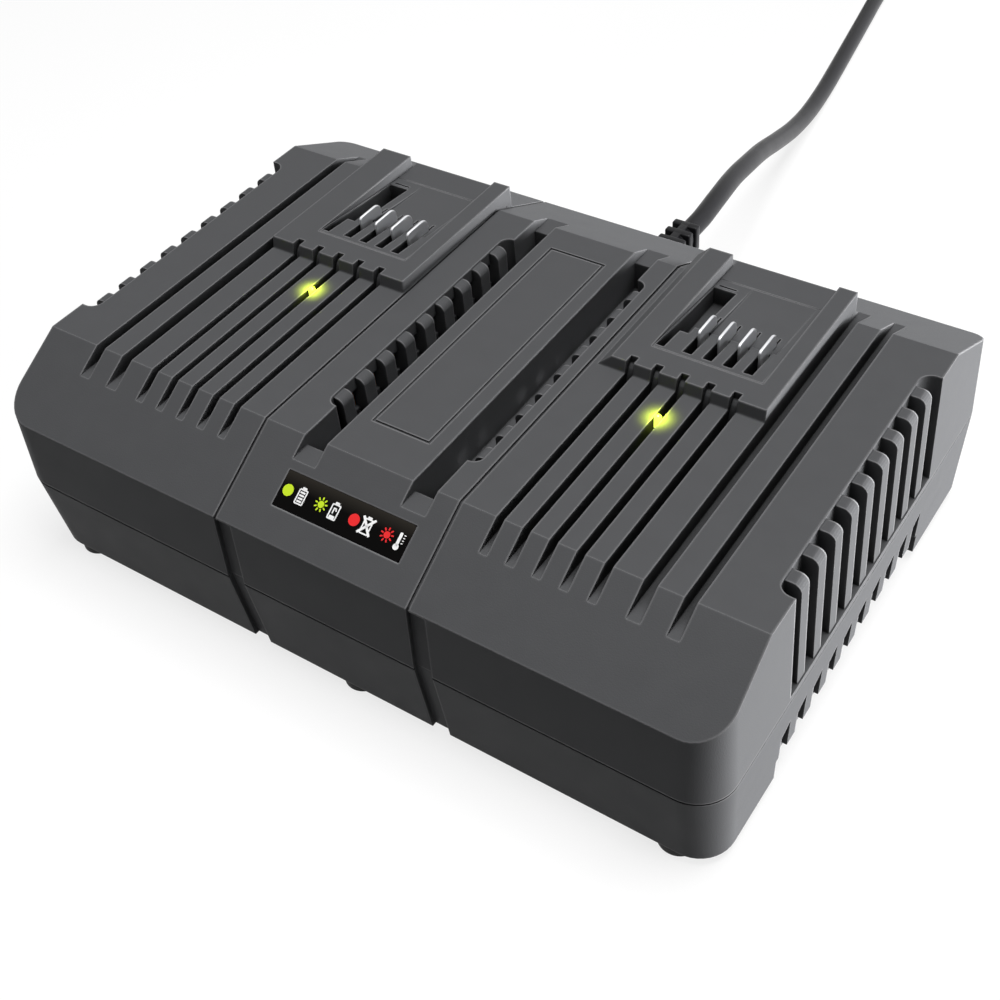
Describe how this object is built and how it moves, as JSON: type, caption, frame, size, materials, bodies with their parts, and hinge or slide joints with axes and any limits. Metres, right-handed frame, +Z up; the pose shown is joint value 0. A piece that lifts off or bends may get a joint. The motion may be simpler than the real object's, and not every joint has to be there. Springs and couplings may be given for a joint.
{
  "type": "two-bay power tool battery charger",
  "caption": "Tabletop battery charger with two slide-on bays, cooling slots and side vents, status lights, cooling fan, rubber feet and a coiled mains cord with plug.",
  "frame": {"origin": "middle of the case's footprint, on the surface that the feet stand on", "axes": "+X towards the right-hand bay, +Y towards the cord side, +Z up"},
  "size_m": [0.3212, 0.6365, 0.0826],
  "materials": {
    "case_top": "fine spark-eroded moulding texture, dark grey",
    "case_base": "fine spark-eroded moulding texture, dark grey",
    "contact_metal": "tin-plated strip",
    "green_light": "clear light pipe, lit yellow-green",
    "circuit_board": "solder mask",
    "label_gloss": "printed polyester label",
    "foot_rubber": "matt rubber",
    "screw_steel": "zinc plated",
    "ferrite": "sintered ferrite",
    "winding_tape": "yellow polyester tape",
    "capacitor_sleeve": "shrink sleeve",
    "heatsink_aluminium": "extruded",
    "device_black": "moulded",
    "choke_copper": "enamelled copper wire",
    "fuse_glass": "clear tube",
    "fan_black": "moulded",
    "lead_red": "wire insulation",
    "cord_black": "smooth flexible cord sheath",
    "tie_black": "hook-and-loop strap",
    "plug_black": "moulded plug body",
    "pin_brass": "plain brass"
  },
  "bodies": {
    "base": {"upper_housing": "case_top", "lower_housing": "case_base", "left_terminal_block": "case_top", "right_terminal_block": "case_top", "left_blade_1": "contact_metal", "left_blade_2": "contact_metal", "left_blade_3": "contact_metal", "left_blade_4": "contact_metal", "right_blade_1": "contact_metal", "right_blade_2": "contact_metal", "right_blade_3": "contact_metal", "right_blade_4": "contact_metal", "left_light_pipe": "green_light", "right_light_pipe": "green_light", "left_light_board": "circuit_board", "right_light_board": "circuit_board", "status_label": "label_gloss", "foot_front_left": "foot_rubber", "foot_front_middle": "foot_rubber", "foot_front_right": "foot_rubber", "foot_rear_left": "foot_rubber", "foot_rear_middle": "foot_rubber", "foot_rear_right": "foot_rubber", "housing_screws": "screw_steel", "main_board": "circuit_board", "board_screws": "screw_steel", "transformer_core": "ferrite", "transformer_winding": "winding_tape", "bulk_capacitors": "capacitor_sleeve", "output_capacitors": "capacitor_sleeve", "primary_heatsink": "heatsink_aluminium", "secondary_heatsink": "heatsink_aluminium", "power_transistor": "device_black", "output_rectifier": "device_black", "choke": "choke_copper", "filter_capacitor": "winding_tape", "fuse": "fuse_glass", "cord_clamp": "device_black", "clamp_screws": "screw_steel", "inner_cord": "cord_black", "left_output_leads": "lead_red", "right_output_leads": "lead_red", "fan_frame": "fan_black", "fan_screws": "screw_steel", "fan_lead": "lead_red", "strain_relief": "cord_black", "mains_cord": "cord_black", "cord_coil": "cord_black", "coil_tie": "tie_black", "mains_plug": "plug_black", "plug_pins": "pin_brass"},
    "rotor": {"fan_rotor": "fan_black"}
  },
  "joints": [
    {"name": "fan_spin", "type": "hinge", "parent": "base", "child": "rotor", "pos_m": [-0.099, 0, 0.0295], "axis": [1, 0, 0], "continuous": true}
  ]
}
